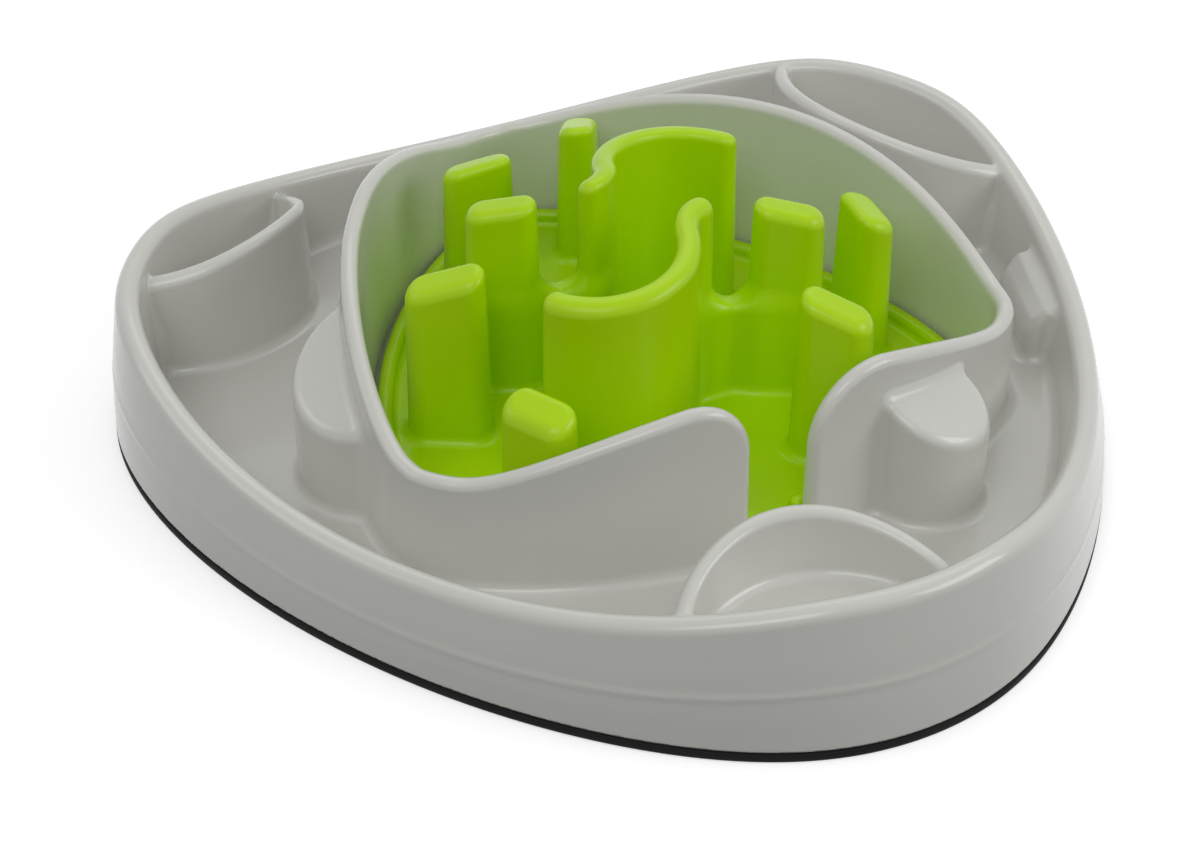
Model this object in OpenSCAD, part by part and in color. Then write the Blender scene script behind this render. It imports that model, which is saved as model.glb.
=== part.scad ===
// Slow feeder bowl: a moulded tray, a lift-out maze insert and an anti-slip ring.
// Millimetres, +Z up, origin on the ground under the middle of the tray's box.
// The tray's three corners lie at 60, 180 and 300 degrees, and the gate faces the last one.
// Outlines are offset curves of a mean radius with a three-fold swell, so walls stay parallel.

/* [Tray] */
// Mean radius of the tray at its base
tray_reach = 155.5; // [150:0.5:162]
// How far a corner stands out past the mean radius, and a side falls short of it
tray_swell = 11.6; // [10:0.1:12]
// Softening of the corners
tray_soften = 0.8; // [0.4:0.1:0.9]
// Rim height at the three corners
corner_rim_h = 49; // [47:1:56]
// Rim height at the middle of the three sides
side_rim_h = 32.5; // [29:0.5:35]
// Rim height half way between a corner and a side
shoulder_rim_h = 45; // [42:1:47]
// Width of the rounded outer rim
rim_w = 7.6; // [7:0.1:8.2]
// How far the outer face leans in from the base to the rim
rim_inset = 4.6; // [4:0.1:5.2]
// How far the outer face leans in below the crease
crease_inset = 1.2; // [0.8:0.1:2]
// Lean of the channel wall from its rim down to the floor
channel_lean = 2.6; // [2:0.1:3.5]
// Height of the floor's upper face
floor_h = 9; // [8.5:0.1:10]
// Thickness of the floor
floor_t = 3; // [2.5:0.1:3.5]
// Thickness of the moulded skins of the hollow walls
skin_t = 2.2; // [1.9:0.1:2.4]

/* [Inner wall] */
// Mean radius of the inner wall's outer edge at its rim
well_reach = 100.6; // [98.6:0.2:102]
// How far a corner of the inner wall stands out past the mean radius
well_swell = 11.3; // [10:0.1:11.5]
// Softening of the inner wall's corners
well_soften = 0.3; // [0.3:0.1:0.6]
// Rim height of the inner wall at its corners
well_corner_h = 48; // [45:1:50]
// Rim height of the inner wall at the middle of its sides
well_side_h = 68; // [64:1:71]
// Rim height of the inner wall between a corner and a side
well_shoulder_h = 49; // [48:1:52]
// How much higher the rim's back is than its mean, and its front lower
well_tilt = 2; // [0:0.1:2.4]
// Thickness of the inner wall at its rim
well_rim_t = 5.2; // [5:0.1:6]
// Lean of the inner wall's outer face from rim to floor
well_out_lean = 1.5; // [1:0.1:2.5]
// Lean of the inner wall's inner face from rim to floor
well_in_lean = 1; // [0.5:0.1:1.5]

/* [Gate] */
// Width of the gate between the two wall ends
gate_w = 20; // [17:0.5:22]
// How far the gate's middle lies to the left of the front side's middle
gate_off = 1.2; // [0:0.1:2]
// Radius of the left wall end's rounded top
gate_left_round = 19; // [15:0.5:21]
// Radius of the right wall end's rounded top
gate_right_round = 26; // [20:0.5:28]
// How far the rounded ends stay below the rim's highest point
gate_drop = 3; // [1:0.1:4]

/* [Pockets and bumps] */
// Outer radius of the front pocket's wall
pocket_r = 43; // [41:0.5:45]
// Thickness of a pocket's wall
pocket_t = 5; // [4.5:0.1:6]
// Distance of the front pocket's centre from the middle
pocket_place = 159.5; // [158:0.5:162]
// Height of the front pocket's wall at its middle
pocket_h = 50; // [48:0.5:52]
// How far the front pocket wall's top falls towards its two ends
pocket_fall = 10; // [8:0.5:12]
// Height of the front pocket's raised floor
pocket_floor_h = 30; // [28:0.5:32]
// Radius of the right bump on the inner wall
bump_r = 17.5; // [16.5:0.5:18.5]
// Distance of the right bump's centre from the middle
bump_place = 98.5; // [97:0.5:100]
// Height of the right bump's top at its centre
bump_h = 45.5; // [43:0.5:46.5]
// Distance of the boss's inner face from the middle
boss_place = 122; // [120:0.5:124]
// How far the boss's middle lies off the direction in which it faces
boss_off = 17.5; // [14:0.5:21]
// Length of the boss along the outer wall
boss_l = 37; // [33:0.5:41]
// Depth of the boss, most of which stands in the channel
boss_w = 16; // [15:0.5:17]
// Radius of the boss's corners in plan
boss_round = 5; // [4:0.1:6]
// Height of the boss's top
boss_h = 28; // [25:0.5:29]
// Width of the slanted strip along the top of the boss
boss_strip = 6; // [4:0.5:7]

/* [Maze insert] */
// Clearance between the insert and the inner wall
insert_gap = 0.6; // [0.4:0.1:1]
// Thickness of the insert's floor
dish_t = 3; // [2.5:0.1:3.5]
// Width of the raised lip round the insert
lip_w = 5; // [4:0.1:6]
// Height of the lip above the insert's floor
lip_h = 4.5; // [3.5:0.1:5.5]
// Length of a post across
post_l = 23; // [21:0.5:24]
// Thickness of a post
post_t = 13; // [12.5:0.5:14]
// Radius of a post's corners in plan
post_round = 6; // [5:0.1:6.1]
// Peak of the cone on which the outer posts' tops lie
post_peak = 89; // [85:1:92]
// Peak of the cone on which the middle posts' and crescents' tops lie
crescent_peak = 84; // [80:1:88]
// Thickness of the crescents
crescent_t = 8.5; // [8:0.5:10]
// Radius of a crescent's arc
crescent_r = 26; // [24:0.5:27]
// Radius of the hook at a crescent's inner end
hook_r = 14; // [13:0.5:15]
// Distance of the two middle posts from the middle, along X
middle_post_place = 43; // [42:0.5:45]
// Distance of the two middle posts from the middle, along Y
middle_post_off = 2; // [1:0.1:3]
// Height of the ribs that join the crescents to the middle posts
rib_h = 44; // [38:1:50]
// Thickness of those ribs
rib_t = 8; // [7:0.5:8]
// Thickness of the posts' and crescents' hollow walls
core_wall = 2.6; // [2.2:0.1:3]

/* [Anti-slip ring] */
// Height of the ring under the tray's edge
ring_h = 3; // [2.5:0.1:4]
// Width of the ring's foot
ring_w = 7; // [6:0.1:9]
// Height of the tongue inside the tray's skirt
tongue_h = 5; // [4:0.1:6]
// Thickness of the tongue
tongue_t = 2; // [1.5:0.1:2.5]

/* [Hidden] */
$fn = 96;
// Steps of an outline, a multiple of six so that corners and side middles are hit
steps = 72;
// Overrun of the cuts
over = 1;
// The origin's shift from the outlines' centre to the middle of the tray's box
mid_shift = tray_swell;
// Turns about the vertical: the gate, the boss and the inner wall's lowest side
gate_turn = 300;
boss_turn = 10;
well_low_turn = 310;
// Depth of the rounded rims
rim_r = rim_w / 2;
well_rim_r = well_rim_t / 2;
// Limits inside a wall: a share of its thickness, and outlines turned by half a step
limit_share = 0.62;
half_step = 0.5;
// The crease runs half way up the outer face
crease_share = 0.48;
// Half way down the floor, and the gate's sill, which dips a little into it
mid_floor_h = floor_h - floor_t / 2;
gate_dip = floor_t * 0.15;
// Falls of the slanted tops, rise over run
post_fall_share = 0.37;
crescent_fall_share = 0.2;
bump_fall_share = 0.45;
boss_fall_share = 1.2;
// The channel wall's foot, measured from the base's edge
channel_foot = rim_inset + rim_w + channel_lean;
// Seam between the insert and the well's wall, measured from the wall's rim edge
well_foot = well_rim_t + well_in_lean;
insert_edge = well_foot + insert_gap;
dish_h = floor_h + dish_t;
// Outer posts: shares of the well's mean radius in X and Y, then of the post's length
outer_post_share = [
    [-0.578, -0.31, 1.09],
    [-0.55, 0.42, 1],
    [-0.255, 0.765, 1],
    [0.67, 0.25, 1],
    [0.57, -0.34, 1],
    [-0.25, -0.795, 1]
];
outer_post_turns = [0, 12, 90, -65, -12, -28];
// The left, front and back pockets: turn in degrees, then shares of the front pocket's radius,
// distance, height and fall, and of its radius for the place of the highest point
pocket_turns = [164.3, 291, 56];
// The left, right and back bumps: turns, then shares of the right bump's radius, distance and height
bump_turns = [212.1, 330.4, 90.7];
bump_share = [
    [1.34, 0.925, 1.09],
    [1, 1, 1],
    [1.14, 0.96, 1.03]
];
pocket_share = [
    [1.08, 1.018, 0.99, 1.08, 0.235],
    [1, 1, 1, 1, 0.02],
    [1.33, 1.07, 1.038, 0.63, 0.23]
];
// The left pocket ends in a straight side: its distance from the pocket's middle as a share of the
// pocket's radius, and the direction in which it faces; the others have none within their radius
pocket_side_share = [0.889, 1.2, 1.2];
pocket_side_turns = [221.3, 0, 0];
// Heights of the pockets' floors as shares of the front one's
pocket_floor_share = [0.62, 1, 0.62];
// Middle of a crescent's arc as shares of its radius, and where the arc starts and ends
crescent_mid_share = [-0.46, -0.92];
crescent_start = -115;
crescent_end = 14;
hook_end = 136;

// A point of an offset outline: t is the direction of its outward normal
function edge(t, reach, swell, soften, d) =
    let (h = reach + d + swell * cos(3 * t) - soften * cos(6 * t),
         g = -3 * swell * sin(3 * t) + 6 * soften * sin(6 * t))
    [h * cos(t) - g * sin(t), h * sin(t) + g * cos(t)];

function tray_edge(t, d) = edge(t, tray_reach, -tray_swell, tray_soften, d);
function well_edge(t, d) = edge(t, well_reach, well_swell, well_soften, d);

// Height of a wavy rim from its heights at a corner, at a side and between them
function wave(corner, side, shoulder, phase) =
    let (even = (corner + side) / 2)
    (even + shoulder) / 2 + (corner - side) / 2 * cos(3 * phase) + (even - shoulder) / 2 * cos(6 * phase);
function tray_rim(t) = wave(corner_rim_h, side_rim_h, shoulder_rim_h, t - gate_turn);
function well_rim(t) =
    wave(well_corner_h, well_side_h, well_shoulder_h, t) - well_tilt * cos(t - well_low_turn);

// Sections of the two walls at direction t, as offset and height pairs
function rim_arc(d, z, r) = [for (a = [0 : 45 : 180]) [d + r * cos(a), z + r * sin(a)]];
function tray_section(t) = let (z = tray_rim(t)) concat(
    [[0, ring_h], [-crease_inset, z * crease_share]],
    rim_arc(-rim_inset - rim_r, z - rim_r, rim_r),
    [[-channel_foot, floor_h], [-channel_foot, floor_h - floor_t], [-skin_t - over, ring_h]]
);
function tray_core_section(t) = let (z = tray_rim(t)) [
    [-skin_t, ring_h - over],
    [-crease_inset - skin_t, z * crease_share],
    [-rim_inset - skin_t, z - rim_w],
    [-rim_inset - rim_w + skin_t, z - rim_w],
    [-channel_foot + skin_t, ring_h - over]
];
function well_section(t) = let (z = well_rim(t)) concat(
    [[well_out_lean, floor_h - floor_t]],
    rim_arc(-well_rim_r, z - well_rim_r, well_rim_r),
    [[-well_foot, floor_h - floor_t]]
);
function lip_section() = concat(
    [[-insert_edge, floor_h + dish_t / 2]],
    rim_arc(-insert_edge - lip_w / 2, dish_h + lip_h - lip_w / 2, lip_w / 2),
    [[-insert_edge - lip_w, floor_h + dish_t / 2]]
);

// A closed ring from one section per step; outline 0 is the tray's and 1 the well's
module ring_loft(sections, outline) {
    count = len(sections[0]);
    points = [
        for (i = [0 : steps - 1], p = sections[i])
            let (q = outline == 0 ? tray_edge(i * 360 / steps, p[0]) : well_edge(i * 360 / steps, p[0]))
            [q[0], q[1], p[1]]
    ];
    faces = [
        for (i = [0 : steps - 1], j = [0 : count - 1], half = [0, 1])
            let (a = i * count + j, b = i * count + (j + 1) % count,
                 c = (i + 1) % steps * count + (j + 1) % count, d = (i + 1) % steps * count + j)
            half == 0 ? [a, b, c] : [a, c, d]
    ];
    polyhedron(points, faces);
}

module tray_area(d, lag = 0) {
    polygon([for (i = [0 : steps - 1]) tray_edge((i + lag) * 360 / steps, d)]);
}

module well_area(d, lag = 0) {
    polygon([for (i = [0 : steps - 1]) well_edge((i + lag) * 360 / steps, d)]);
}

module slab(low, high) {
    translate([0, 0, low]) linear_extrude(high - low) children();
}

// Everything above a plane that falls away from the middle along +X
module slanted_lid(x, z, fall) {
    translate([x, 0, z]) rotate([0, atan(fall), 0])
        translate([-tray_reach, -tray_reach, 0]) cube([2 * tray_reach, 2 * tray_reach, tray_reach]);
}

// One side of the gate's cut: half its width and the rounded top of the wall's end
module gate_half(round_r) {
    top = well_side_h - floor_h - gate_drop;
    translate([-over, -gate_dip]) square([gate_w / 2 + over, well_side_h + gate_dip]);
    difference() {
        translate([0, top - round_r]) square([gate_w / 2 + round_r, 2 * round_r]);
        translate([gate_w / 2 + round_r, top - round_r]) circle(round_r);
    }
}

module gate_cut() {
    rotate(gate_turn) translate([well_reach * 0.7, -gate_off, floor_h])
        rotate([90, 0, 90]) linear_extrude(well_reach * 0.35) {
            gate_half(gate_right_round);
            mirror([1, 0]) gate_half(gate_left_round);
        }
}

// The stretch of wall by the gate
module gate_block(extra) {
    rotate(gate_turn) translate([well_reach * 0.7, -gate_w / 2 - gate_off - extra, 0])
        cube([well_reach * 0.35, gate_w + 2 * extra, well_side_h + over]);
}

module inner_wall() {
    ring_loft([for (i = [0 : steps - 1]) well_section(i * 360 / steps)], 1);
}

// Pocket k's plan radius less an inset, the height of its floor, and its plan
function pocket_radius(k, inset) = pocket_r * pocket_share[k][0] - inset;
function pocket_floor(k) = pocket_floor_h * pocket_floor_share[k];

module pocket_area(k, inset) {
    reach = 2 * pocket_r;
    side = pocket_radius(k, 0) * pocket_side_share[k] - inset;
    rotate(pocket_turns[k]) translate([pocket_place * pocket_share[k][1], 0]) intersection() {
        circle(pocket_radius(k, inset));
        rotate(pocket_side_turns[k]) translate([-reach, -reach]) square([reach + side, 2 * reach]);
    }
}

// The arched ceiling of a pocket's wall: a lying cylinder
module pocket_arch(k) {
    chord = pocket_r * 0.9;
    fall = pocket_fall * pocket_share[k][3];
    arch_r = (chord * chord + fall * fall) / (2 * fall);
    rotate(pocket_turns[k])
        translate([0, pocket_r * pocket_share[k][4], pocket_h * pocket_share[k][2] - arch_r])
            rotate([0, 90, 0]) cylinder(h = tray_reach * 1.2, r = arch_r, $fn = 180);
}

module pocket(k) {
    difference() {
        intersection() {
            slab(mid_floor_h, 2 * pocket_h) pocket_area(k, 0);
            pocket_arch(k);
            slab(0, 2 * corner_rim_h) tray_area(-rim_inset - rim_w * limit_share, half_step);
        }
        slab(pocket_floor(k), 3 * pocket_h) pocket_area(k, pocket_t);
    }
}

module pocket_core(k) {
    intersection() {
        slab(ring_h, pocket_floor(k) - floor_t) pocket_area(k, skin_t);
        slab(0, corner_rim_h + over) tray_area(-rim_inset - rim_w * limit_share, half_step);
    }
}

// Bump k on the inner wall: a half-round outside the wall's middle
module bump(k) {
    place = bump_place * bump_share[k][1];
    high = bump_h * bump_share[k][2];
    difference() {
        slab(mid_floor_h, high + bump_r) difference() {
            rotate(bump_turns[k]) translate([place, 0]) circle(bump_r * bump_share[k][0]);
            well_area(-well_rim_t * limit_share, half_step);
        }
        rotate(bump_turns[k]) slanted_lid(place, high, bump_fall_share);
    }
}

// The boss on the outer wall: a short bar along the wall with a slanted top
module boss() {
    ridge = boss_place + boss_strip;
    intersection() {
        rotate(boss_turn) difference() {
            translate([boss_place + boss_w / 2, boss_off]) slab(mid_floor_h, boss_h)
                rounded_bar(boss_w, boss_l, boss_round);
            translate([2 * ridge, 0, 0]) rotate(180) slanted_lid(ridge, boss_h, boss_fall_share);
        }
        slab(0, side_rim_h + over) tray_area(-rim_inset - rim_w * limit_share, half_step);
    }
}

// The floor is open under the hollow pockets
module floor_plate() {
    slab(floor_h - floor_t, floor_h) difference() {
        tray_area(-channel_foot + over);
        for (k = [0 : 2]) pocket_area(k, skin_t / 2);
    }
}

module tray() {
    color("whitesmoke") translate([mid_shift, 0, 0]) union() {
        difference() {
            union() {
                floor_plate();
                inner_wall();
                for (k = [0 : 2]) bump(k);
            }
            gate_cut();
        }
        difference() {
            union() {
                ring_loft([for (i = [0 : steps - 1]) tray_section(i * 360 / steps)], 0);
                for (k = [0 : 2]) pocket(k);
                boss();
            }
            ring_loft([for (i = [0 : steps - 1]) tray_core_section(i * 360 / steps)], 0);
            for (k = [0 : 2]) pocket_core(k);
        }
    }
}

// A cone-shaped roof: the tops of posts and crescents lie on it
module roof(peak, fall_share) {
    cylinder(h = peak, r1 = peak / fall_share, r2 = 0, $fn = 180);
}

module rounded_bar(l, t, r) {
    square([l - 2 * r, t], center = true);
    square([l, t - 2 * r], center = true);
    for (x = [-1, 1], y = [-1, 1]) translate([x * (l / 2 - r), y * (t / 2 - r)]) circle(r);
}

module post_plan(inset, long = 1) {
    rounded_bar(post_l * long - 2 * inset, post_t - 2 * inset, post_round - inset);
}

module outer_posts(inset, low, drop) {
    intersection() {
        union() {
            for (k = [0 : len(outer_post_share) - 1])
                let (p = outer_post_share[k])
                    translate([p[0] * well_reach, p[1] * well_reach]) rotate(outer_post_turns[k])
                        slab(low, post_peak) post_plan(inset, p[2]);
        }
        translate([0, 0, -drop]) roof(post_peak, post_fall_share);
    }
}

// One crescent's plan: an arc and a small hook turned the other way
module arc_band(r, t, from, to) {
    rotate(from) intersection() {
        difference() {
            circle(r + t / 2);
            circle(r - t / 2);
        }
        polygon([[0, 0], for (k = [0 : 4]) 2 * r * [cos((to - from) * k / 4), sin((to - from) * k / 4)]]);
    }
}

module crescent_plan(inset) {
    t = crescent_t - 2 * inset;
    mid = crescent_mid_share * crescent_r;
    hook_mid = mid + (crescent_r + hook_r) * [cos(crescent_end), sin(crescent_end)];
    translate(mid) {
        arc_band(crescent_r, t, crescent_start, crescent_end);
        rotate(crescent_start) translate([crescent_r, 0]) circle(t / 2);
    }
    translate(hook_mid) {
        arc_band(hook_r, t, hook_end, 180 + crescent_end);
        rotate(hook_end) translate([hook_r, 0]) circle(t / 2);
    }
}

module middle_posts(inset, low, drop) {
    intersection() {
        union() {
            for (turn = [0, 180]) rotate(turn) slab(low, crescent_peak) {
                crescent_plan(inset);
                translate([middle_post_place, middle_post_off]) post_plan(inset);
            }
        }
        translate([0, 0, -drop]) roof(crescent_peak, crescent_fall_share);
    }
}

// A rib runs from the tip of a hook to the middle post beside it
module ribs() {
    hook_mid = crescent_mid_share * crescent_r
        + (crescent_r + hook_r) * [cos(crescent_end), sin(crescent_end)];
    tip = hook_mid + hook_r * [cos(hook_end), sin(hook_end)];
    run = [middle_post_place, middle_post_off] - tip;
    for (turn = [0, 180]) rotate(turn) slab(floor_h, rib_h)
        translate(tip) rotate(atan2(run[1], run[0]))
            translate([0, -rib_t / 2]) square([norm(run), rib_t]);
}

// The floor's tongue that fills the gate
module tongue() {
    rotate(gate_turn) translate([well_reach * 0.7, -gate_w / 2 - gate_off + insert_gap, floor_h])
        cube([well_reach - well_swell - well_reach * 0.7, gate_w - 2 * insert_gap, dish_t]);
}

module maze_insert() {
    color("yellowgreen") translate([mid_shift, 0, 0]) difference() {
        union() {
            slab(floor_h, dish_h) well_area(-insert_edge);
            tongue();
            difference() {
                ring_loft([for (i = [0 : steps - 1]) lip_section()], 1);
                gate_block(-insert_gap);
            }
            outer_posts(0, floor_h, 0);
            middle_posts(0, floor_h, 0);
            ribs();
        }
        outer_posts(core_wall, floor_h - over, core_wall);
        middle_posts(core_wall, floor_h - over, core_wall);
    }
}

module anti_slip_ring() {
    color("#202022") translate([mid_shift, 0, 0]) {
        slab(0, ring_h) difference() {
            tray_area(0);
            tray_area(-ring_w);
        }
        slab(ring_h, ring_h + tongue_h) difference() {
            tray_area(-skin_t - crease_inset * 0.5);
            tray_area(-skin_t - crease_inset * 0.5 - tongue_t);
        }
    }
}

tray();
maze_insert();
anti_slip_ring();
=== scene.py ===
import math
import bpy
import numpy as np
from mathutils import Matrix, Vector


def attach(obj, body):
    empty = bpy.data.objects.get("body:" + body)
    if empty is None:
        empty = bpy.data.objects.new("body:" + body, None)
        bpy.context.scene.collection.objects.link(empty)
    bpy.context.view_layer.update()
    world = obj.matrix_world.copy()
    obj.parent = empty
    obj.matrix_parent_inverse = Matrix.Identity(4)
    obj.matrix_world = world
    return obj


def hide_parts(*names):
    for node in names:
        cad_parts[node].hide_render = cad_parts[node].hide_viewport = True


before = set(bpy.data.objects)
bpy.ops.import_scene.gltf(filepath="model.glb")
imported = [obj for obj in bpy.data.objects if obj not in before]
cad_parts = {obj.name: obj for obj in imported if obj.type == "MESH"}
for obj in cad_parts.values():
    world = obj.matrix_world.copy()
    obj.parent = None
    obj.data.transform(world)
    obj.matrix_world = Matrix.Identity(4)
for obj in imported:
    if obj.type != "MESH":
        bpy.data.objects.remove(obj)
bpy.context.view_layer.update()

# Sizes are in millimetres, in the part's own frame. Directions are in degrees from +X about the
# outlines' centre, which lies SHIFT along X from the origin. Each moulding is a distance field,
# negative inside, which surface() turns into a mesh.
SHIFT = 11.6
GATE_TURN = 300
RING_TOP, FLOOR, FLOOR_UNDER = 3.0, 9.0, 6.0

# Nearest normals: the grid of start directions, then how they are refined
GRID_REACH, GRID_STEP, TURN_STEP = 180, 2, 3
TURN_ROUNDS, LEAST_BEND, MOST_TURN = 3, 20.0, 0.06


def waves(table, t):
    """Cosine and sine waves of a direction, from rows of order, cosine share and sine share."""
    return sum(a * np.cos(n * t) + b * np.sin(n * t) for n, a, b in table)


class Outline:
    """A closed curve, given by the distance of its tangents from the centre."""

    def __init__(self, table):
        self.table = table
        g = np.arange(-GRID_REACH, GRID_REACH + 1, GRID_STEP, dtype=float)
        x, y = np.meshgrid(g, g, indexing="ij")
        best = np.full(x.shape, -np.inf)
        self.start = np.zeros(x.shape)
        for a in np.radians(np.arange(0, 360, TURN_STEP)):
            d = x * math.cos(a) + y * math.sin(a) - self.height(a)
            self.start = np.where(d > best, a, self.start)
            best = np.maximum(d, best)

    def height(self, t):
        return waves(self.table, t)

    def slope(self, t):
        return waves([(n, n * b, -n * a) for n, a, b in self.table], t)

    def bend(self, t):
        return waves([(n, -n * n * a, -n * n * b) for n, a, b in self.table], t)

    def measure(self, x, y):
        """Signed distance from the curve, outside positive, and the nearest normal's direction."""
        x = x - SHIFT
        last = len(self.start) - 1
        i = np.clip(np.rint((x + GRID_REACH) / GRID_STEP), 0, last).astype(int)
        j = np.clip(np.rint((y + GRID_REACH) / GRID_STEP), 0, last).astype(int)
        t = self.start[i, j]
        for _ in range(TURN_ROUNDS):
            c, s = np.cos(t), np.sin(t)
            g = -x * s + y * c - self.slope(t)
            k = -x * c - y * s - self.bend(t)
            t = t - np.clip(g / np.minimum(k, -LEAST_BEND), -MOST_TURN, MOST_TURN)
        return x * np.cos(t) + y * np.sin(t) - self.height(t), t

    def point(self, t, d):
        """The point at direction t of the curve that lies d outside this one."""
        h, g = self.height(t) + d, self.slope(t)
        return h * np.cos(t) - g * np.sin(t) + SHIFT, h * np.sin(t) + g * np.cos(t)


TRAY = Outline([(0, 155.5, 0), (3, -11.6, 0), (6, -0.8, 0)])
WELL = Outline([(0, 100.69, 0), (1, -0.38, -0.03), (2, 0.85, 0.38), (3, 11.55, -0.04),
                (6, -0.26, -0.17)])
# The solid well's own outline, which the insert keeps inside too
DISH_EDGE = Outline([(0, 100.6, 0), (3, 11.3, 0), (6, -0.3, 0)])

# Rim heights: waves, and a dip as depth, direction and spread
TRAY_RIM = [(0, 42.8, 0), (3, -8.15, 0), (6, -2.1, 0)]
TRAY_DIP = (1.5, 118, 14)
WELL_RIM = [(0, 53.23, 0), (1, -1.34, 1.54), (2, 0.1, -0.41), (4, 0.45, 0.13)]
WELL_DIP = (1.7, 120, 18)
# The inner wall's rise from its corners to its sides, where it goes level, and its highest point
WELL_RISE, WELL_SHARPEN = -9.89, 4.73
WELL_LEVEL, WELL_TOP = 0.523, 69.2


def dip(t, depth, at, spread):
    return depth * np.exp(-((t - math.radians(at)) / math.radians(spread)) ** 2)


def tray_rim(t):
    return waves(TRAY_RIM, t) - dip(t, *TRAY_DIP)


def well_rim(t):
    w = np.minimum(np.cos(3 * t), WELL_LEVEL)
    z = waves(WELL_RIM, t) + WELL_RISE * w + WELL_SHARPEN * (2 * w * w - 1)
    return np.minimum(z - dip(t, *WELL_DIP), WELL_TOP)


def join(a, b, r):
    """Both shapes, with a fillet of radius r where they meet."""
    u, v = np.maximum(r - a, 0), np.maximum(r - b, 0)
    return np.maximum(r, np.minimum(a, b)) - np.hypot(u, v)


def cut(a, b, r):
    """What lies in both shapes, with its edge rounded to radius r."""
    u, v = np.maximum(r + a, 0), np.maximum(r + b, 0)
    return np.minimum(-r, np.maximum(a, b)) + np.hypot(u, v)


def ramp(value, run, low=0, high=1):
    """A value as a share of a run, kept between two limits."""
    return np.clip(value / run, low, high)


def turned(x, y, deg):
    """Coordinates along a direction and across it."""
    a = math.radians(deg)
    return x * math.cos(a) + y * math.sin(a), -x * math.sin(a) + y * math.cos(a)


def polar(x, y, distance, deg):
    """Coordinates from a place at a distance from the centre, along its direction and across it."""
    along, across = turned(x - SHIFT, y, deg)
    return along - distance, across


def bar(u, v, half_u, half_v, r):
    u, v = np.abs(u) - half_u + r, np.abs(v) - half_v + r
    return np.hypot(np.maximum(u, 0), np.maximum(v, 0)) + np.minimum(np.maximum(u, v), 0) - r


# The gate: its edges across its direction, its middle, its two ends' radii, and a value for
# everywhere behind it
GATE_LEFT, GATE_RIGHT, GATE_MID = -11.2, 8.8, -1.2
GATE_LEFT_ROUND, GATE_RIGHT_ROUND = 19.0, 26.0
NO_GATE = -60.0


def gate_field(along, across, spare):
    """Inside distance of the gate, made narrower at each side by a spare."""
    inside = np.minimum(across - (GATE_LEFT + spare), (GATE_RIGHT - spare) - across)
    return np.where(along > 0, inside, NO_GATE)


# Outer wall: leans of its face below and above the crease, the crease's height as a share of the
# rim's, its rounding, and the bead along it
LEAN_LOW, LEAN_HIGH = 1.2, 3.4
CREASE_SHARE, CREASE_ROUND, BEAD, BEAD_SPREAD = 0.48, 1.0, 0.34, 1.2
# Its rim: how far below the top the leans are measured, roundness, and width from the base's edge
RIM_DROP, RIM_ROUND, RIM_IN = 3.8, 3.3, 12.2
CHANNEL_LEAN, CHANNEL_LOW, CHANNEL_HIGH = 2.6, -0.2, 1.4
# Inner wall: half its thickness at the rim, its growth and lean down to the floor, and what turns
# a height over its rim into a distance
WELL_HALF, WELL_GROW, WELL_LEAN, WELL_DEEP, WELL_SLANT = 2.6, 1.25, 0.25, 1.1, 0.97
# Floor plate's edge, the underside's edge, and the fillets at the floor
PLATE_IN, UNDER_IN = 13.0, 14.8
CHANNEL_FILLET, WELL_FILLET = 4.0, 3.5
# How far in from the base's edge, and in from the well's outline, the attached forms begin
WALL_TOUCH, WELL_TOUCH = 10.9, 1.7
FORM_FILLET = 3.0
# Skins, the hollow's top below the rim, and the rounding of the lower edge
SKIN, POCKET_SKIN, POCKET_PLATE, HOLLOW_DROP, FOOT_ROUND = 2.6, 4.0, 3.2, 8.0, 1.5

# Pockets: centre line's radius, distance, direction, height at the middle, fall and tilt of the
# top, floor height, distance and direction of the straight side, which lies past the radius where
# a pocket has none
NO_SIDE = 99.0
POCKETS = [(44.0, 162.4, 164.34, 48.75, 10.8, 5.6, 18.6, 38.8, 221.3),
           (40.7, 159.6, 291.06, 50.2, 10.1, 0.3, 30.0, NO_SIDE, 0),
           (54.7, 170.7, 55.8, 51.5, 6.3, 3.25, 18.6, NO_SIDE, 0)]
# The half width to which fall and tilt refer, and the extra drop of the top at the straight side
POCKET_SPAN = 38.7
SIDE_DROP, SIDE_FROM, SIDE_RUN = 4.0, -12, 18
# Walls: half thickness, growth and its depth outwards and inwards, roundings of corner, top and floor
POCKET_HALF = 2.5
GROW_OUT, GROW_OUT_DEPTH, GROW_IN, GROW_IN_DEPTH = 0.8, 39, 2.6, 20
POCKET_CORNER, POCKET_TOP_ROUND, POCKET_FLOOR_ROUND = 2.6, 2.4, 0.5
# The fillet to the outer wall: radius near the top, what it gains further down, and where
TOUCH_FILLET, TOUCH_GAIN, TOUCH_HEIGHT, TOUCH_RUN = 1.2, 2.3, 34, 12

# Bumps: direction, distance, radius, height, fall outwards and across
BUMPS = [(212.2, 90.9, 23.7, 49.9, 0.42, 0.24), (330.4, 98.5, 17.3, 45.5, 0.45, 0.02),
         (90.7, 95.0, 20.0, 47.0, 0.42, 0.0)]
BUMP_ROUND = 3.0

# The boss: distance and direction, middle, half sizes, corner radius, height, fall of the slanted
# strip and what turns a height over it into a distance, and two roundings
BOSS_PLACE, BOSS_TURN, BOSS_MID = 128.0, 10, (2.0, 17.5)
BOSS_HALF, BOSS_CORNER, BOSS_TOP = (8.0, 18.5), 5.0, 28.0
BOSS_FALL, BOSS_SLANT, BOSS_RIDGE, BOSS_ROUND = 1.2, 1.562, 1.0, 2.4


def pocket_edges(u, v, line, side, side_turn):
    """Distances from a pocket's round line and from its straight side."""
    e = math.radians(side_turn)
    return np.hypot(u, v) - line, u * math.cos(e) + v * math.sin(e) - side


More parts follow.
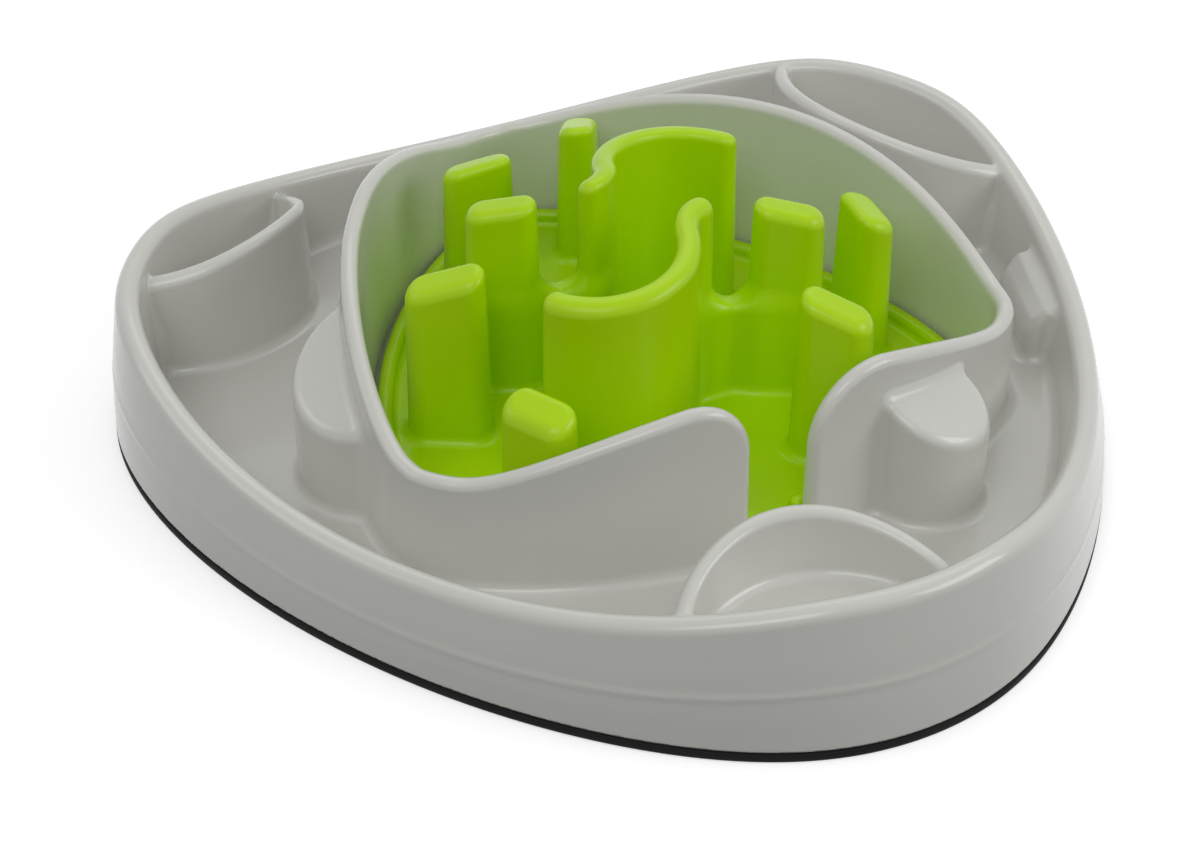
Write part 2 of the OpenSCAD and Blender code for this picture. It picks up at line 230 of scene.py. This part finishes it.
def tray_plan(x, y):
    """All that depends on the place in plan alone."""
    p = {}
    p["dt"], tray_turn = TRAY.measure(x, y)
    p["dw"], well_turn = WELL.measure(x, y)
    p["zt"] = tray_rim(tray_turn)
    p["zw"] = well_rim(well_turn)
    along, across = polar(x, y, 0.0, GATE_TURN)
    p["gate"] = gate_field(along, across, 0.0)
    p["round"] = np.where(across < GATE_MID, GATE_LEFT_ROUND, GATE_RIGHT_ROUND)
    p["pocket"] = [polar(x, y, k[1], k[2]) for k in POCKETS]
    p["bump"] = [polar(x, y, k[1], k[0]) for k in BUMPS]
    p["boss"] = polar(x, y, BOSS_PLACE, BOSS_TURN)
    return p


def outer_wall(p, z):
    """The solid outer wall, its outer and inner faces, and the height at which its leans end."""
    dt, lean_top = p["dt"], p["zt"] - RIM_DROP
    crease = p["zt"] * CREASE_SHARE
    low = dt + LEAN_LOW * (z - RING_TOP) / np.maximum(crease - RING_TOP, 1)
    high = dt + LEAN_LOW + LEAN_HIGH * (z - crease) / np.maximum(lean_top - crease, 1)
    outer = cut(low, high, CREASE_ROUND) - BEAD * np.exp(-((z - crease) / BEAD_SPREAD) ** 2)
    depth = np.maximum(lean_top - FLOOR, 1)
    inner = -dt - RIM_IN - CHANNEL_LEAN * ramp(lean_top - z, depth, CHANNEL_LOW, CHANNEL_HIGH)
    return cut(np.maximum(outer, inner), z - p["zt"], RIM_ROUND), outer, inner, lean_top


def inner_wall(p, z):
    """The inner wall, rounded all round its profile, which the gate cuts."""
    deep = ramp(p["zw"] - z, p["zw"] - FLOOR, 0, WELL_DEEP)
    slab = np.abs(p["dw"] + WELL_HALF - WELL_LEAN * deep) - (WELL_HALF + WELL_GROW * deep)
    rise = cut((z - p["zw"]) * WELL_SLANT, p["gate"], p["round"])
    return cut(slab, rise, WELL_HALF)


def tray_field(p, z):
    dt, dw = p["dt"], p["dw"]
    wall, outer, inner, lean_top = outer_wall(p, z)
    plate = np.maximum(z - FLOOR, dt + PLATE_IN)
    body = join(wall, plate, CHANNEL_FILLET)
    body = join(body, inner_wall(p, z), WELL_FILLET)
    for (u, v), (line, _, _, top, fall, tilt, low, side, side_turn) in zip(p["pocket"], POCKETS):
        r = cut(*pocket_edges(u, v, line, side, side_turn), POCKET_CORNER)
        top = top - fall * (v / POCKET_SPAN) ** 2 + tilt * v / POCKET_SPAN
        if side < line:
            top = top - SIDE_DROP * ramp(SIDE_FROM - v, SIDE_RUN)
        out = POCKET_HALF + GROW_OUT * ramp(top - z, GROW_OUT_DEPTH)
        back = POCKET_HALF + GROW_IN * ramp(top - z, GROW_IN_DEPTH)
        curve = cut(np.maximum(r - out, -r - back), z - top, POCKET_TOP_ROUND)
        cup = cut(r, z - low, POCKET_FLOOR_ROUND)
        shape = np.maximum(join(curve, cup, FORM_FILLET), dt + WALL_TOUCH)
        body = join(body, shape, TOUCH_FILLET + TOUCH_GAIN * ramp(TOUCH_HEIGHT - z, TOUCH_RUN))
    for (u, v), (_, _, size, top, fall, side) in zip(p["bump"], BUMPS):
        lid = (z - top + fall * u + side * v) / math.sqrt(1 + fall * fall + side * side)
        shape = np.maximum(cut(np.hypot(u, v) - size, lid, BUMP_ROUND), -dw - WELL_TOUCH)
        body = join(body, shape, FORM_FILLET)
    u, v = p["boss"]
    lid = cut(z - BOSS_TOP, (z - BOSS_TOP - BOSS_FALL * u) / BOSS_SLANT, BOSS_RIDGE)
    block = bar(u - BOSS_MID[0], v - BOSS_MID[1], *BOSS_HALF, BOSS_CORNER)
    shape = np.maximum(cut(block, lid, BOSS_ROUND), dt + WALL_TOUCH)
    body = join(body, shape, FORM_FILLET)
    # hollow underside of the outer wall and the pockets
    hollow = np.maximum(np.maximum(outer, inner) + SKIN, z - lean_top + HOLLOW_DROP)
    hollow = np.minimum(hollow, np.maximum(dt + UNDER_IN, z - FLOOR_UNDER))
    for (u, v), (line, _, _, _, _, _, low, side, side_turn) in zip(p["pocket"], POCKETS):
        r = np.maximum(*pocket_edges(u, v, line, side, side_turn))
        cave = np.maximum(np.maximum(r + POCKET_SKIN, outer + SKIN), z - low + POCKET_PLATE)
        hollow = np.minimum(hollow, cave)
    return cut(np.maximum(body, -hollow), RING_TOP - z, FOOT_ROUND)


# The maze insert's floor, and its edge and lip measured in from the well's outline
DISH, DISH_IN, DISH_ROUND = 12.0, 8.8, 0.3
LIP_IN, LIP_HALF, LIP_TOP, LIP_ROUND = 9.3, 2.5, 16.5, 2.3
# How far the lip's ends stand into the gate, their rounding, and the lip's fillet
LIP_SPARE, LIP_END_ROUND, LIP_FILLET = 0.6, 2.0, 2.0
# The tongue in the gate: half width, where it starts and ends, and its edge's rounding
TONGUE_HALF, TONGUE_FROM, TONGUE_TO, TONGUE_ROUND = 9.4, 60, 89.2, 0.4
# Outer posts: place, turn, half length and how far the top stands off the cone of their tops
POSTS = [(-56.8, -31.2, 0, 12.5, 2.5), (-55.3, 42.3, 12, 11.5, 0), (-25.7, 77.0, 90, 11.5, 0),
         (67.4, 25.2, -65, 11.5, 0), (57.3, -34.2, -12, 11.5, 0.8), (-25.2, -80.0, -28, 11.5, 0)]
POST_HALF, POST_CORNER, POST_ROUND, POST_FILLET = 6.5, 6.0, 3.3, 3.0
# Cones of the tops, outer and middle: peak, fall and what turns a height into a distance
POST_PEAK, POST_FALL, POST_SLANT = 89.0, 0.37, 0.938
MID_PEAK, MID_FALL, MID_SLANT = 84.0, 0.2, 0.98
# Taper of posts and curved walls over a height, and how much posts grow at their feet
TAPER_RUN, TAPER_LOW, TAPER_HIGH = 60.0, -0.1, 1.2
POST_TAPER, POST_GROW, ARC_TAPER = 1.3, 0.5, 0.8
# Middle posts, curved walls with their hooks, and ribs; the second of each is turned half round
MID_POST, MID_HALF = (43.0, 2.0), 11.5
ARC_R, ARC_MID, ARC_FROM, ARC_TO, ARC_HALF, ARC_ROUND = 26, (-0.46, -0.92), -115, 14, 4.5, 3.2
HOOK_R, HOOK_FROM = 14, 136
RIB_FROM, RIB_HALF, RIB_TOP, RIB_ROUND, RIB_FILLET = (16.8, -4.5), 4.0, 44.0, 2.5, 7.0


def post(x, y, cx, cy, deg, half):
    return bar(*turned(x - cx, y - cy, deg), half, POST_HALF, POST_CORNER)


def arc(x, y, cx, cy, r, start, end):
    """Distance to an arc's centre line."""
    px, py = x - cx, y - cy
    mid, span = math.radians((start + end) / 2), math.radians((end - start) / 2)
    turn = np.abs((np.arctan2(py, px) - mid + math.pi) % (2 * math.pi) - math.pi)
    ends = [np.hypot(px - r * math.cos(a), py - r * math.sin(a))
            for a in (math.radians(start), math.radians(end))]
    return np.where(turn < span, np.abs(np.hypot(px, py) - r), np.minimum(*ends))


def segment(x, y, ax, ay, bx, by):
    ux, uy = bx - ax, by - ay
    f = np.clip(((x - ax) * ux + (y - ay) * uy) / (ux * ux + uy * uy), 0, 1)
    return np.hypot(x - ax - f * ux, y - ay - f * uy)


def insert_plan(x, y):
    """All that depends on the place in plan alone."""
    p = {"dw": np.maximum(WELL.measure(x, y)[0], DISH_EDGE.measure(x, y)[0])}
    px, py = x - SHIFT, y
    p["r"] = np.hypot(px, py)
    along, across = polar(x, y, 0.0, GATE_TURN)
    p["gate"] = gate_field(along, across, LIP_SPARE)
    sides = np.abs(across - GATE_MID) - TONGUE_HALF
    p["tongue"] = np.maximum(np.maximum(sides, along - TONGUE_TO), TONGUE_FROM - along)
    p["posts"] = [post(px, py, *k[:4]) for k in POSTS]
    p["mid"], p["arcs"], p["ribs"] = [], [], []
    mx, my = ARC_MID[0] * ARC_R, ARC_MID[1] * ARC_R
    e = math.radians(ARC_TO)
    hx, hy = mx + (ARC_R + HOOK_R) * math.cos(e), my + (ARC_R + HOOK_R) * math.sin(e)
    for s in (1, -1):
        qx, qy = s * px, s * py
        p["mid"].append(post(qx, qy, *MID_POST, 0, MID_HALF))
        p["arcs"].append(np.minimum(arc(qx, qy, mx, my, ARC_R, ARC_FROM, ARC_TO),
                                    arc(qx, qy, hx, hy, HOOK_R, HOOK_FROM, ARC_TO + 180)))
        p["ribs"].append(segment(qx, qy, *RIB_FROM, *MID_POST) - RIB_HALF)
    return p


def insert_field(p, z):
    dw, r = p["dw"], p["r"]
    plate = np.maximum(z - DISH, FLOOR - z)
    floor = np.minimum(cut(dw + DISH_IN, plate, DISH_ROUND), cut(p["tongue"], plate, TONGUE_ROUND))
    lip = cut(np.abs(dw + LIP_IN) - LIP_HALF, z - LIP_TOP, LIP_ROUND)
    lip = np.maximum(cut(lip, p["gate"], LIP_END_ROUND), FLOOR - z)
    body = join(floor, lip, LIP_FILLET)
    k = ramp(z - DISH, TAPER_RUN, TAPER_LOW, TAPER_HIGH)
    for d, row in zip(p["posts"], POSTS):
        top = (z - POST_PEAK - row[4] + POST_FALL * r) * POST_SLANT
        body = join(body, cut(d + POST_TAPER * k - POST_GROW, top, POST_ROUND), POST_FILLET)
    top = (z - MID_PEAK + MID_FALL * r) * MID_SLANT
    group = np.minimum(*[cut(d - ARC_HALF + ARC_TAPER * k, top, ARC_ROUND) for d in p["arcs"]])
    for d in p["mid"]:
        group = np.minimum(group, cut(d + POST_TAPER * k - POST_GROW, top, POST_ROUND))
    for d in p["ribs"]:
        group = join(group, cut(d, z - RIB_TOP, RIB_ROUND), RIB_FILLET)
    return np.maximum(join(body, group, POST_FILLET), FLOOR - z)


# Meshing: probe lengths for slopes, and how vertices move onto the surface within their cells
PROBE, NORMAL_PROBE = 0.01, 0.02
MOVE_ROUNDS, LEAST_SLOPE, MOST_MOVE, CELL_SPARE, TINY = 3, 0.3, 0.5, 0.25, 1e-6


def deep(q):
    """Plan values with a third axis, for a block of heights."""
    if isinstance(q, dict):
        return {k: deep(v) for k, v in q.items()}
    if isinstance(q, (list, tuple)):
        return [deep(v) for v in q]
    return q[:, :, None].astype(np.float32)


def gradient(plan, field, v, e):
    """The field's values at points, and its slopes there."""
    flat = plan(v[:, 0], v[:, 1])
    f = field(flat, v[:, 2])
    g = np.empty_like(v)
    g[:, 0] = (field(plan(v[:, 0] + e, v[:, 1]), v[:, 2]) - f) / e
    g[:, 1] = (field(plan(v[:, 0], v[:, 1] + e), v[:, 2]) - f) / e
    g[:, 2] = (field(flat, v[:, 2] + e) - f) / e
    return f, g


def cells_round(index, axis, s1, s2):
    """A cell beside each grid edge that runs along an axis."""
    first, second = [k for k in range(3) if k != axis]
    c = index.copy()
    c[:, first] -= s1
    c[:, second] -= s2
    return c


def surface(plan, field, lo, hi, step):
    """One vertex in each cell that the surface crosses, moved onto it, and a face for each crossing."""
    ax = [np.arange(lo[i], hi[i] + step, step) for i in range(3)]
    p = plan(*np.meshgrid(ax[0], ax[1], indexing="ij"))
    f = field(deep(p), ax[2][None, None, :].astype(np.float32)).astype(np.float32)
    inside = f < 0
    shape = np.array(f.shape) - 1
    total = np.zeros((*shape, 3), np.float32)
    count = np.zeros(shape, np.float32)
    edges = []
    for axis in range(3):
        a, b = [slice(None)] * 3, [slice(None)] * 3
        a[axis], b[axis] = slice(0, -1), slice(1, None)
        a, b = tuple(a), tuple(b)
        index = np.stack(np.nonzero(inside[a] != inside[b]), 1)
        va, vb = f[a][tuple(index.T)], f[b][tuple(index.T)]
        pos = index.astype(np.float32)
        pos[:, axis] += va / (va - vb)
        for s1 in (0, 1):
            for s2 in (0, 1):
                c = cells_round(index, axis, s1, s2)
                ok = ((c >= 0) & (c < shape)).all(1)
                np.add.at(total, tuple(c[ok].T), pos[ok])
                np.add.at(count, tuple(c[ok].T), 1)
        edges.append((axis, index, va < 0))
    used = count > 0
    cell = np.full(shape, -1, np.int64)
    cell[used] = np.arange(int(used.sum()))
    quads = []
    for axis, index, leaving in edges:
        q = np.stack([cell[tuple(cells_round(index, axis, s1, s2).T)]
                      for s1, s2 in ((0, 0), (1, 0), (1, 1), (0, 1))], 1)
        keep = leaving if axis != 1 else ~leaving
        q[~keep] = q[~keep][:, ::-1]
        quads.append(q)
    base = np.array([a[0] for a in ax])
    verts = (total[used] / count[used][:, None]).astype(np.float64) * step + base
    corner = np.stack(np.nonzero(used), 1) * step + base
    for _ in range(MOVE_ROUNDS):
        f, g = gradient(plan, field, verts, PROBE)
        move = f[:, None] * g / np.maximum((g * g).sum(1), LEAST_SLOPE)[:, None]
        verts = verts - np.clip(move, -MOST_MOVE * step, MOST_MOVE * step)
        verts = np.clip(verts, corner - CELL_SPARE * step, corner + (1 + CELL_SPARE) * step)
    _, g = gradient(plan, field, verts - NORMAL_PROBE / 2, NORMAL_PROBE)
    normals = g / np.maximum(np.linalg.norm(g, axis=1), TINY)[:, None]
    return verts, np.concatenate(quads), normals


def make(name, verts, faces, normals=None):
    me = bpy.data.meshes.new(name)
    me.vertices.add(len(verts))
    me.vertices.foreach_set("co", (verts * 0.001).astype(np.float32).ravel())
    me.loops.add(faces.size)
    me.loops.foreach_set("vertex_index", faces.astype(np.int32).ravel())
    me.polygons.add(len(faces))
    starts = np.arange(0, faces.size, faces.shape[1], dtype=np.int32)
    me.polygons.foreach_set("loop_start", starts)
    me.polygons.foreach_set("use_smooth", np.ones(len(faces), bool))
    me.update(calc_edges=True)
    me.validate()
    if normals is not None:
        me.normals_split_custom_set_from_vertices(normals.astype(np.float32))
    return add(name, me)


def add(name, data):
    ob = bpy.data.objects.new(name, data)
    bpy.context.scene.collection.objects.link(ob)
    return ob


# The two mouldings: the blocks that hold them and the mesh steps
TRAY_BLOCK, TRAY_STEP = ((-157, -158, 1.7), (157, 158, 71.0)), 1.1
INSERT_BLOCK, INSERT_STEP = ((-73, -97, 7.6), (119, 97, 84)), 1.0
tray = make("tray_moulding", *surface(tray_plan, tray_field, *TRAY_BLOCK, TRAY_STEP))
insert = make("maze_moulding", *surface(insert_plan, insert_field, *INSERT_BLOCK, INSERT_STEP))

# The anti-slip ring's section, as distances out from the tray's outline and heights: a foot with
# softened edges, and a tongue that stands in the tray's skirt
RING_SECTION = [
    (-7.0, 3.0), (-7.0, 0.5), (-6.5, 0.0), (-0.7, 0.0), (-0.15, 0.4), (0.0, 1.0), (0.0, 2.6),
    (-0.3, 3.0), (-2.9, 3.0), (-2.9, 8.0), (-4.8, 8.0), (-4.8, 3.0),
]
RING_STEPS = 360


def swept(name, section, count):
    """A section swept once round the tray's outline."""
    t = np.radians(np.arange(count) * 360.0 / count)
    v = np.concatenate([np.stack([*TRAY.point(t, d), np.full(count, z)], 1) for d, z in section])
    i = np.arange(count)
    j = (i + 1) % count
    rows = [(k * count, (k + 1) % len(section) * count) for k in range(len(section))]
    f = np.concatenate([np.stack([a + i, a + j, b + j, b + i], 1) for a, b in rows])
    return make(name, v, f[:, ::-1])


ring = swept("foot_ring", RING_SECTION, RING_STEPS)


def shader(name, **values):
    m = bpy.data.materials.new(name)
    m.use_nodes = True
    nt = m.node_tree
    bsdf = nt.nodes["Principled BSDF"]
    for key, v in values.items():
        bsdf.inputs[key.replace("_", " ")].default_value = v
    return m, nt, bsdf


# Noises in the plastics, as scale and detail: cloudy colour, uneven gloss and flow ripple
CLOUD, STREAK, RIPPLE = (14.0, 3.0), (42.0, 5.0), (90.0, 2.0)
CLOUD_FROM, CLOUD_TO, RIPPLE_DEPTH = 0.3, 0.72, 0.0004


def moulded(name, base, spread, rough, bump, **values):
    """Moulded plastic: a slight cloudiness of colour, uneven gloss and a faint flow ripple."""
    m, nt, bsdf = shader(name, **values)
    new, link = nt.nodes.new, nt.links.new
    coord = new("ShaderNodeTexCoord")

    def noise(scale, detail):
        node = new("ShaderNodeTexNoise")
        node.inputs["Scale"].default_value = scale
        node.inputs["Detail"].default_value = detail
        link(coord.outputs["Object"], node.inputs["Vector"])
        return node.outputs["Fac"]

    tint = new("ShaderNodeValToRGB")
    low, high = tint.color_ramp.elements
    low.position, high.position = CLOUD_FROM, CLOUD_TO
    low.color = (*[c * (1 - spread) for c in base], 1)
    high.color = (*base, 1)
    link(noise(*CLOUD), tint.inputs["Fac"])
    link(tint.outputs["Color"], bsdf.inputs["Base Color"])
    gloss = new("ShaderNodeMapRange")
    gloss.inputs["To Min"].default_value, gloss.inputs["To Max"].default_value = rough
    link(noise(*STREAK), gloss.inputs["Value"])
    link(gloss.outputs["Result"], bsdf.inputs["Roughness"])
    relief = new("ShaderNodeBump")
    relief.inputs["Strength"].default_value = bump
    relief.inputs["Distance"].default_value = RIPPLE_DEPTH
    link(noise(*RIPPLE), relief.inputs["Height"])
    link(relief.outputs["Normal"], bsdf.inputs["Normal"])
    return m


white = moulded("tray_plastic_gloss", base=(0.66, 0.655, 0.615), spread=0.02, rough=(0.16, 0.22),
                bump=0.04, IOR=1.5, Specular_IOR_Level=0.5, Coat_Weight=0.15, Coat_Roughness=0.1)
lime = moulded("insert_plastic_gloss", base=(0.47, 0.76, 0.0), spread=0.03, rough=(0.22, 0.3),
               bump=0.05, IOR=1.5, Specular_IOR_Level=0.3)
black = moulded("ring_rubber_matt", base=(0.006, 0.006, 0.0065), spread=0.3, rough=(0.55, 0.7),
                bump=0.3, IOR=1.5, Specular_IOR_Level=0.15)
for ob, mat, body, node, slot in (
    (tray, white, "tray", "tray", "tray_plastic"),
    (insert, lime, "insert", "maze_insert", "insert_plastic"),
    (ring, black, "tray", "anti_slip_ring", "ring_rubber"),
):
    ob.data.materials.append(mat)
    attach(ob, body)
    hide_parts(node)
    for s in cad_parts[node].material_slots:
        s.material = mat


# Light levels: the surround at the horizon and overhead, and as it is seen
SKY_LOW, SKY_HIGH, SKY_SEEN = 0.14, 0.55, 1.0
# The floor as it is seen: colour, roughness and glow; and its grey for the light on the bowl
FLOOR_PALE, FLOOR_ROUGH, FLOOR_GLOW, FLOOR_GREY = 0.8, 0.9, 0.47, 0.12
# Half the floor's side, in metres
FLOOR_REACH = 6
WHITE = (1, 1, 1, 1)


def seen_rays(nodes, links):
    """1 for camera, glossy and transmission rays, and 0 for the light that falls on things."""
    path = nodes.new("ShaderNodeLightPath")
    two, three = nodes.new("ShaderNodeMath"), nodes.new("ShaderNodeMath")
    two.operation = three.operation = "ADD"
    three.use_clamp = True
    links.new(path.outputs["Is Camera Ray"], two.inputs[0])
    links.new(path.outputs["Is Glossy Ray"], two.inputs[1])
    links.new(two.outputs["Value"], three.inputs[0])
    links.new(path.outputs["Is Transmission Ray"], three.inputs[1])
    return three.outputs["Value"]


def by_ray(tree, unseen, seen, surface_input):
    """One shader for the light on things and another for what is seen."""
    mix = tree.nodes.new("ShaderNodeMixShader")
    tree.links.new(seen_rays(tree.nodes, tree.links), mix.inputs["Fac"])
    tree.links.new(unseen, mix.inputs[1])
    tree.links.new(seen, mix.inputs[2])
    tree.links.new(mix.outputs["Shader"], surface_input)


# World: a white surround where it is seen, and one that is brighter overhead for the light
world = bpy.data.worlds.new("surround")
bpy.context.scene.world = world
world.use_nodes = True
wn, wl = world.node_tree.nodes, world.node_tree.links
sky = wn["Background"]
sky.inputs["Color"].default_value = WHITE
where = wn.new("ShaderNodeTexCoord")
parts = wn.new("ShaderNodeSeparateXYZ")
wl.new(where.outputs["Generated"], parts.inputs["Vector"])
level = wn.new("ShaderNodeMapRange")
level.inputs["To Min"].default_value = SKY_LOW
level.inputs["To Max"].default_value = SKY_HIGH
wl.new(parts.outputs["Z"], level.inputs["Value"])
wl.new(level.outputs["Result"], sky.inputs["Strength"])
seen_sky = wn.new("ShaderNodeBackground")
seen_sky.inputs["Color"].default_value = WHITE
seen_sky.inputs["Strength"].default_value = SKY_SEEN
by_ray(world.node_tree, sky.outputs["Background"], seen_sky.outputs["Background"],
       wn["World Output"].inputs["Surface"])

# Floor: white where it is seen, with the bowl's shadow, and grey for the light that it throws up
corners = [(a * FLOOR_REACH, b * FLOOR_REACH, 0) for a, b in ((-1, -1), (1, -1), (1, 1), (-1, 1))]
floor_mesh = bpy.data.meshes.new("floor")
floor_mesh.from_pydata(corners, [], [(0, 1, 2, 3)])
floor_ob = add("floor", floor_mesh)
floor_mat, floor_tree, floor_bsdf = shader(
    "floor_white", Base_Color=(FLOOR_PALE, FLOOR_PALE, FLOOR_PALE, 1), Roughness=FLOOR_ROUGH,
    Specular_IOR_Level=0.0, Emission_Color=WHITE, Emission_Strength=FLOOR_GLOW)
dull = floor_tree.nodes.new("ShaderNodeBsdfDiffuse")
dull.inputs["Color"].default_value = (FLOOR_GREY, FLOOR_GREY, FLOOR_GREY, 1)
by_ray(floor_tree, dull.outputs["BSDF"], floor_bsdf.outputs["BSDF"],
       floor_tree.nodes["Material Output"].inputs["Surface"])
floor_mesh.materials.append(floor_mat)


def aim(ob, place, target):
    ob.location = place
    ob.rotation_euler = (Vector(target) - Vector(place)).to_track_quat("-Z", "Y").to_euler()


# Lamps, in metres and watts: place, target, size and power
LAMPS = {
    "key": ((1.25, -0.3, 0.75), (0, 0, 0.03), (0.9, 0.6), 5.4),
    "fill": ((-1.2, -0.2, 0.8), (0, 0, 0.03), (0.8, 0.6), 2.0),
    "top": ((0.1, 0.8, 1.2), (0, 0, 0), (1.2, 0.5), 2.0),
    "front": ((-0.2, -1.05, 1.2), (0, 0, 0.04), (1.0, 0.6), 4.6),
}
for name, (place, target, size, power) in LAMPS.items():
    lamp = bpy.data.lights.new(name, "AREA")
    lamp.shape = "RECTANGLE"
    lamp.size, lamp.size_y = size
    lamp.energy = power
    aim(add(name, lamp), place, target)

# Camera: a 72 mm lens at the photograph's place, in metres
LENS, SENSOR, NEAR = 72.0, 36.0, 0.01
CAMERA_PLACE, CAMERA_TARGET = (0.0374, -0.6127, 0.4508), (-0.0013, -0.0088, 0.0)
cam_data = bpy.data.cameras.new("camera")
cam_data.lens, cam_data.sensor_width, cam_data.clip_start = LENS, SENSOR, NEAR
cam = add("camera", cam_data)
aim(cam, CAMERA_PLACE, CAMERA_TARGET)
bpy.context.scene.camera = cam
bpy.context.scene.view_settings.view_transform = "Standard"
